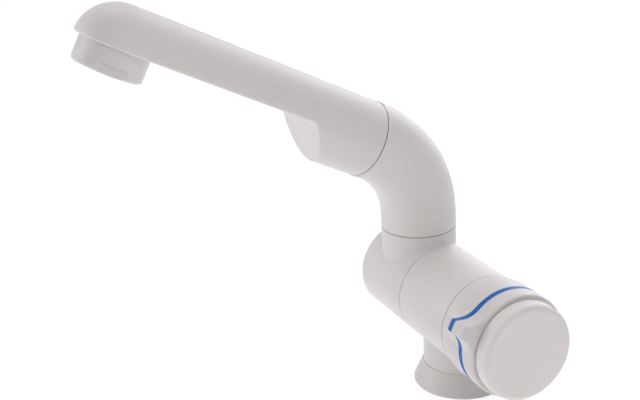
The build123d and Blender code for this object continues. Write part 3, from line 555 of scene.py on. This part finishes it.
def make_thread_cutter():
    """Presses a right-hand thread into the outside of an upright rod, fading out at both ends."""
    sizes = ("Crest Radius", "Pitch", "Depth", "Low End", "High End", "Fade")
    inputs = {**{size: "NodeSocketFloat" for size in sizes}, "Finish": "NodeSocketMaterial"}
    tree, ins, outs = new_maker("thread_cutter", inputs)
    given = ins.outputs
    x, y, z = point_place(tree)
    radius = vector_maths(tree, "LENGTH", vector_of(tree, X=x, Y=y))

    turns = maths(tree, "DIVIDE", maths(tree, "ARCTAN2", y, x), math.tau)
    pitches = maths(tree, "DIVIDE", z, given["Pitch"])
    phase = maths(tree, "FRACT", maths(tree, "SUBTRACT", pitches, turns))
    from_crest = maths(tree, "ABSOLUTE", maths(tree, "MULTIPLY_ADD", phase, 2.0, -1.0))
    past_crest = maths(tree, "SUBTRACT", from_crest, THREAD_CREST_SHARE)
    groove = maths(tree, "MULTIPLY", past_crest, THREAD_FLANK_SLOPE, clamp=True)

    from_low = maths(tree, "SUBTRACT", z, given["Low End"])
    from_high = maths(tree, "SUBTRACT", given["High End"], z)
    low_fade = maths(tree, "DIVIDE", from_low, given["Fade"], clamp=True)
    high_fade = maths(tree, "DIVIDE", from_high, given["Fade"], clamp=True)
    share = maths(tree, "MULTIPLY", groove, maths(tree, "MULTIPLY", low_fade, high_fade))
    cut = maths(tree, "MULTIPLY", share, given["Depth"])
    shrink = maths(tree, "SUBTRACT", 1.0, maths(tree, "DIVIDE", cut, radius))
    new_x = maths(tree, "MULTIPLY", x, shrink)
    new_y = maths(tree, "MULTIPLY", y, shrink)

    outside_from = maths(tree, "MULTIPLY", given["Crest Radius"], NEARLY_CREST)
    pressed = add_node(
        tree, "GeometryNodeSetPosition", Geometry=given["Geometry"],
        Selection=maths(tree, "GREATER_THAN", radius, outside_from),
        Position=vector_of(tree, X=new_x, Y=new_y, Z=z))
    close_maker(tree, pressed.outputs[0], given["Finish"], outs)
    return tree


def turned_mesh(name, outline, segments):
    """Mesh turned round Z from a closed outline of (radius, z) points that runs up the outside."""
    verts = []
    faces = []
    count = len(outline)
    for step in range(segments):
        angle = math.tau * step / segments
        for radius, z in outline:
            verts.append((radius * math.cos(angle), radius * math.sin(angle), z))
    for step in range(segments):
        near = step * count
        far = (step + 1) % segments * count
        for low in range(count):
            high = (low + 1) % count
            faces.append((near + low, far + low, far + high, near + high))
    mesh = bpy.data.meshes.new(name)
    mesh.from_pydata(verts, [], faces)
    return mesh


def make_shank():
    """The shank below the worktop, with the thread that its nut runs on."""
    low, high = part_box("threaded_shank")
    crest = high.x
    thread_foot = low.z + SHANK_CHAMFER
    rows = round(-thread_foot / THREAD_ROW)
    outline = [(SHANK_BORE_R, low.z), (crest - SHANK_CHAMFER, low.z)]
    outline += [(crest, thread_foot + row * THREAD_ROW) for row in range(rows + 1)]
    outline += [(SPIGOT_R, 0.0), (SPIGOT_R, high.z), (SHANK_BORE_R, high.z)]
    piece = new_object("shank_thread", turned_mesh("shank_blank", outline, SHANK_SEGMENTS))
    make_by(
        make_thread_cutter(), piece, Crest_Radius=crest, Pitch=THREAD_PITCH, Depth=THREAD_DEPTH,
        Low_End=thread_foot, High_End=THREAD_TOP, Fade=THREAD_FADE, Finish=white_plastic)
    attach(piece, "base")
    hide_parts("threaded_shank")


def weave(tree, given, crimp_sign, turn):
    """One set of parallel wires, cut to the round screen and bent over and under the other set."""
    pitch = given["Pitch"]
    x, y, _ = point_place(tree)

    gaps = maths(tree, "SUBTRACT", given["Wires"], 1.0)
    first = maths(tree, "MULTIPLY", maths(tree, "MULTIPLY", gaps, -0.5), pitch)
    row = add_node(
        tree, "GeometryNodeMeshLine", Count=given["Wires"], Start_Location=vector_of(tree, X=first),
        Offset=vector_of(tree, X=pitch))
    radius_squared = maths(tree, "POWER", given["Radius"], 2.0)
    x_squared = maths(tree, "POWER", x, 2.0)
    half_chord = maths(tree, "SQRT", maths(tree, "SUBTRACT", radius_squared, x_squared))
    line = add_node(tree, "GeometryNodeCurvePrimitiveLine", Start=(0, -1, 0), End=(0, 1, 0))
    wires = add_node(
        tree, "GeometryNodeInstanceOnPoints", Points=row.outputs[0], Instance=line.outputs[0],
        Scale=vector_of(tree, X=1.0, Y=half_chord, Z=1.0))
    real = add_node(tree, "GeometryNodeRealizeInstances", Geometry=wires.outputs[0])

    fine = tree.nodes.new("GeometryNodeResampleCurve")
    fine.mode = "LENGTH"
    spacing = maths(tree, "DIVIDE", pitch, SCREEN_POINTS_PER_PITCH)
    feed(tree, fine, Curve=real.outputs[0], Length=spacing)
    per_pitch = maths(tree, "DIVIDE", math.pi, pitch)
    across_wave = maths(tree, "COSINE", maths(tree, "MULTIPLY", x, per_pitch))
    along_wave = maths(tree, "COSINE", maths(tree, "MULTIPLY", y, per_pitch))
    swing = maths(tree, "MULTIPLY", given["Wire Radius"], crimp_sign)
    rise = maths(tree, "MULTIPLY", maths(tree, "MULTIPLY", across_wave, along_wave), swing)
    bent = add_node(
        tree, "GeometryNodeSetPosition", Geometry=fine.outputs[0], Offset=vector_of(tree, Z=rise))

    turned = add_node(
        tree, "GeometryNodeTransform", Geometry=bent.outputs[0], Rotation=(0, 0, turn))
    ring = add_node(
        tree, "GeometryNodeCurvePrimitiveCircle", Resolution=SCREEN_WIRE_SIDES,
        Radius=given["Wire Radius"])
    solid = add_node(
        tree, "GeometryNodeCurveToMesh", Curve=turned.outputs[0], Profile_Curve=ring.outputs[0],
        Fill_Caps=True)
    return solid.outputs[0]


def make_screen():
    """Woven wire screen inside the aerator, just over the plate with the holes."""
    inputs = {
        "Radius": "NodeSocketFloat", "Pitch": "NodeSocketFloat", "Wire Radius": "NodeSocketFloat",
        "Wires": "NodeSocketInt", "Finish": "NodeSocketMaterial",
    }
    tree, ins, outs = new_maker("woven_screen", inputs)
    both = tree.nodes.new("GeometryNodeJoinGeometry")
    tree.links.new(weave(tree, ins.outputs, 1.0, 0.0), both.inputs[0])
    tree.links.new(weave(tree, ins.outputs, -1.0, math.pi / 2), both.inputs[0])
    close_maker(tree, both.outputs[0], ins.outputs["Finish"], outs)
    piece = new_object("aerator_screen", bpy.data.meshes.new("screen_blank"))
    make_by(
        tree, piece, Radius=SCREEN_R, Pitch=SCREEN_PITCH, Wire_Radius=SCREEN_WIRE_R,
        Wires=SCREEN_WIRES, Finish=steel)
    axis = way_to(OUTLET_AZIMUTH, OUTLET_ELEVATION)
    low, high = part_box("aerator_insert")
    centre = (low + high) / 2 + (INSERT_PLATE_T + SCREEN_LIFT - INSERT_LEN / 2) * axis
    lie = axis.to_track_quat("Z", "Y").to_matrix().to_4x4()
    piece.data.transform(Matrix.Translation(centre) @ lie)
    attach(piece, "spout_arm")


# Studio

def by_ray(tree, lighting, shown):
    """Joins two shaders: one lights the tap, the other shows to the camera, in gloss and in glass."""
    ray = tree.nodes.new("ShaderNodeLightPath").outputs
    seen = maths(tree, "ADD", ray["Is Camera Ray"], ray["Is Glossy Ray"])
    seen = maths(tree, "ADD", seen, ray["Is Transmission Ray"], clamp=True)
    mix = add_node(tree, "ShaderNodeMixShader", Fac=seen)
    tree.links.new(lighting, mix.inputs[1])
    tree.links.new(shown, mix.inputs[2])
    return mix.outputs[0]


def make_tent():
    """World light: a faint even tent, seen as plain white."""
    world = bpy.data.worlds.new("tent")
    bpy.context.scene.world = world
    world.use_nodes = True
    tree = world.node_tree
    faint = tree.nodes["Background"]
    feed(tree, faint, Color=WHITE_LIGHT, Strength=TENT_LEVEL)
    white = add_node(tree, "ShaderNodeBackground", Color=WHITE_LIGHT, Strength=TENT_SEEN_LEVEL)
    mixed = by_ray(tree, faint.outputs[0], white.outputs[0])
    feed(tree, tree.nodes["World Output"], Surface=mixed)


def glowing_grey(tree, grey, glow):
    """Matt grey that takes shadows, with an even glow added."""
    matt = add_node(tree, "ShaderNodeBsdfDiffuse", Color=(grey, grey, grey, 1))
    light = add_node(tree, "ShaderNodeEmission", Strength=glow)
    both = tree.nodes.new("ShaderNodeAddShader")
    tree.links.new(matt.outputs[0], both.inputs[0])
    tree.links.new(light.outputs[0], both.inputs[1])
    return both.outputs[0]


def make_floor():
    """Pale floor at the worktop's height: it looks white and keeps the tap's shadow."""
    half = FLOOR_HALF_WIDTH
    mesh = bpy.data.meshes.new("floor")
    corners = [(-half, -half, 0), (half, -half, 0), (half, half, 0), (-half, half, 0)]
    mesh.from_pydata(corners, [], [(0, 1, 2, 3)])
    floor = new_object("floor", mesh)
    material = bpy.data.materials.new("floor_white")
    material.use_nodes = True
    tree = material.node_tree
    tree.nodes.clear()
    output = tree.nodes.new("ShaderNodeOutputMaterial")
    lighting = glowing_grey(tree, FLOOR_GREY, FLOOR_GLOW)
    shown = glowing_grey(tree, FLOOR_SEEN_GREY, FLOOR_SEEN_GLOW)
    feed(tree, output, Surface=by_ray(tree, lighting, shown))
    mesh.materials.append(material)


def make_softboxes():
    """Large soft lamps round the tap, aimed at it."""
    for name, azimuth, elevation, power in SOFTBOXES:
        light = bpy.data.lights.new(name, "AREA")
        light.size = SOFTBOX_SIZE
        light.energy = power
        lamp = new_object(name, light)
        way = way_to(azimuth, elevation)
        lamp.location = Vector(SOFTBOX_AIM) + SOFTBOX_DISTANCE * way
        lamp.rotation_euler = way.to_track_quat("Z", "Y").to_euler()
        lamp.visible_camera = False


def make_camera():
    """Camera at the photograph's place and turn."""
    data = bpy.data.cameras.new("camera")
    data.sensor_width = CAMERA_SENSOR_MM
    data.lens = CAMERA_LENS_MM
    data.shift_x, data.shift_y = CAMERA_SHIFT
    camera = new_object("camera", data)
    roll = math.radians(CAMERA_ROLL)
    back = way_to(CAMERA_AZIMUTH, CAMERA_ELEVATION)
    level_right = Vector((0, 0, 1)).cross(back).normalized()
    level_up = back.cross(level_right)
    right = math.cos(roll) * level_right + math.sin(roll) * level_up
    up = back.cross(right)
    turn = Matrix((right, up, back)).transposed()
    camera.matrix_world = Matrix.Translation(CAMERA_PLACE) @ turn.to_4x4()
    bpy.context.scene.camera = camera


dress_cad_nodes()
make_shank()
make_screen()
make_tent()
make_floor()
make_softboxes()
make_camera()
bpy.context.scene.view_settings.view_transform = "Standard"
